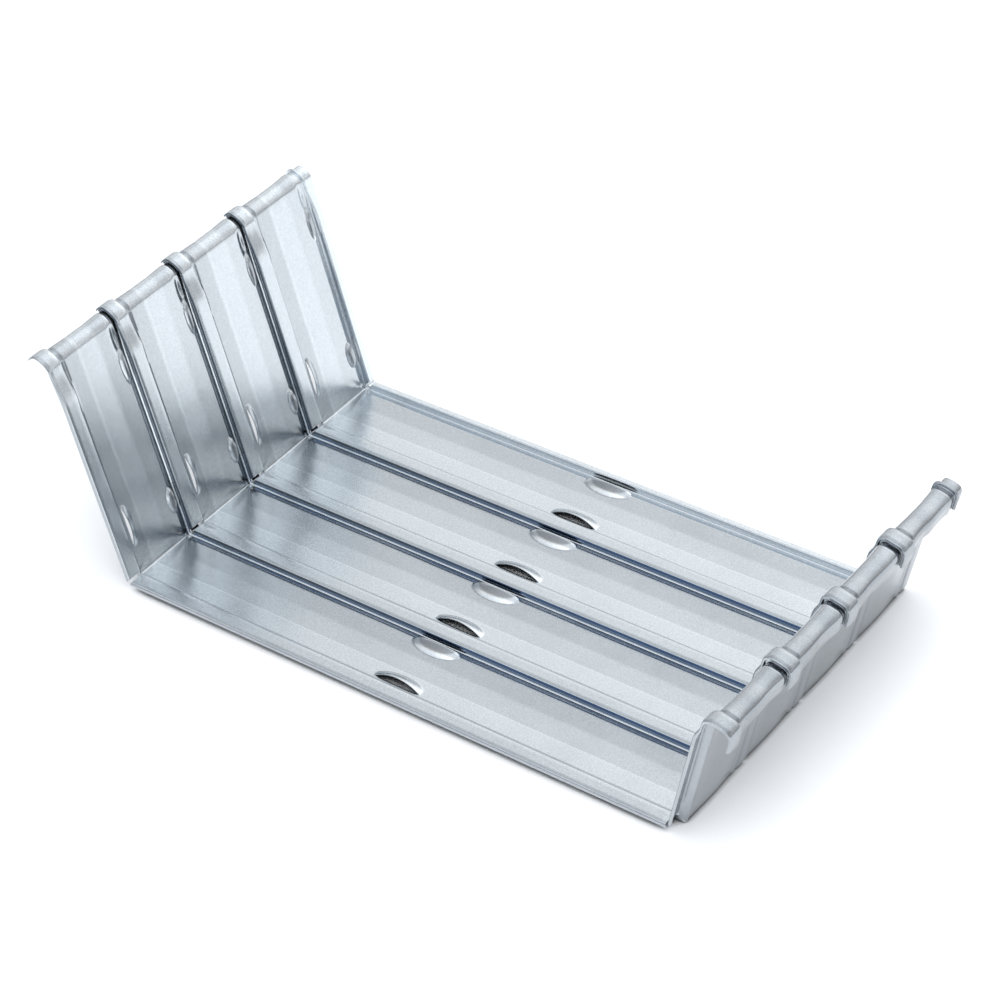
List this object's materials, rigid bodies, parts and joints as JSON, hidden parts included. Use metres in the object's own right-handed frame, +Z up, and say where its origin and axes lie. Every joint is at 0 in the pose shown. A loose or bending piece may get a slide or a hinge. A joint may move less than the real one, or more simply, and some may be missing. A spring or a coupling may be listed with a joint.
{
  "type": "baguette tray",
  "caption": "Open sheet-metal tray with a tall back wall and a low front wall, made of identical strips hooked side by side.",
  "frame": {"origin": "middle of the tray's footprint box, on the underside of the floor", "axes": "+X from the tall back wall to the low front wall, +Y across the strips from strip_1 to strip_4, +Z up"},
  "size_m": [0.496, 0.25, 0.1608],
  "materials": {
    "galvanised_sheet": "bright galvanised steel sheet, satin with fine grain along the strip"
  },
  "bodies": {
    "strip_1": {"strip_1": "galvanised_sheet"},
    "strip_2": {"strip_2": "galvanised_sheet"},
    "strip_3": {"strip_3": "galvanised_sheet"},
    "strip_4": {"strip_4": "galvanised_sheet"}
  },
  "joints": [
    {"name": "seam_1_2", "type": "slide", "parent": "strip_1", "child": "strip_2", "axis": [0, -1, 0], "range_m": [0, 0.001]},
    {"name": "seam_2_3", "type": "slide", "parent": "strip_2", "child": "strip_3", "axis": [0, -1, 0], "range_m": [0, 0.001]},
    {"name": "seam_3_4", "type": "slide", "parent": "strip_3", "child": "strip_4", "axis": [0, -1, 0], "range_m": [0, 0.001]}
  ]
}
